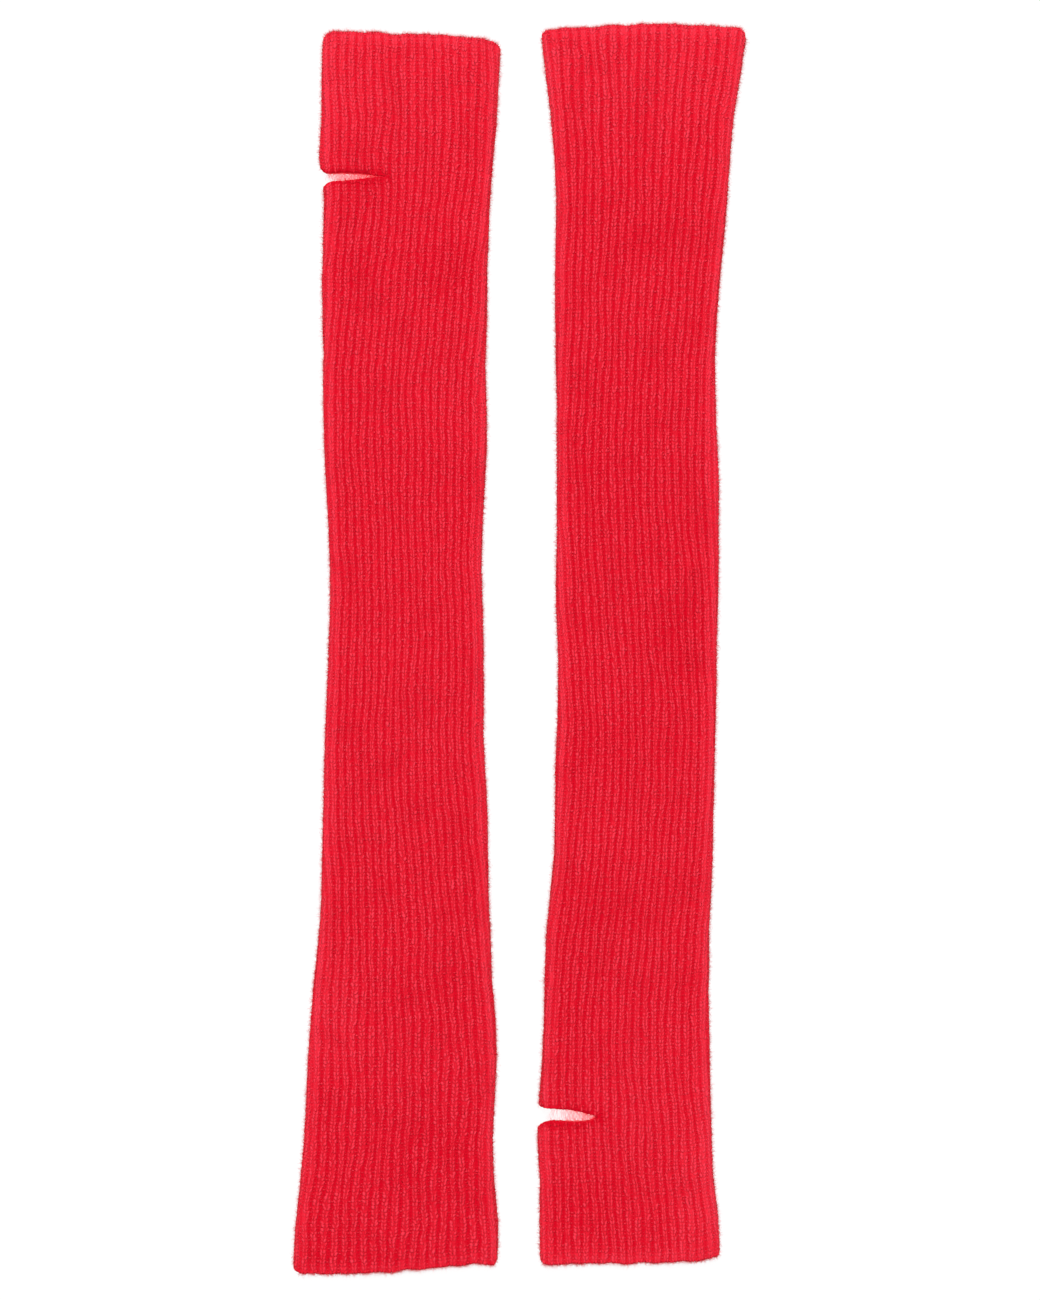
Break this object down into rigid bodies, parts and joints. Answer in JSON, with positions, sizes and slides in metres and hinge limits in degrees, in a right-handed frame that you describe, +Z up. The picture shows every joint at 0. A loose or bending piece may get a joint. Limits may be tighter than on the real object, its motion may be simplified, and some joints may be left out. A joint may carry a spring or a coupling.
{
  "type": "pair of arm warmers",
  "caption": "Long arm warmers in soft brushed rib knit, laid flat as a pair, head to tail, flared at the arm end, with a thumb slit in one fold near the hand end.",
  "frame": {"origin": "on the ground, in the middle of the pair's outline", "axes": "+Y along the warmers, towards the left one's hand end; +X to the right seen from above; +Z up"},
  "size_m": [0.218, 0.6001, 0.0065],
  "materials": {
    "red_rib_knit": "soft brushed one by one rib"
  },
  "bodies": {
    "root": {"left_arm_warmer": "red_rib_knit", "right_arm_warmer": "red_rib_knit"}
  },
  "joints": []
}
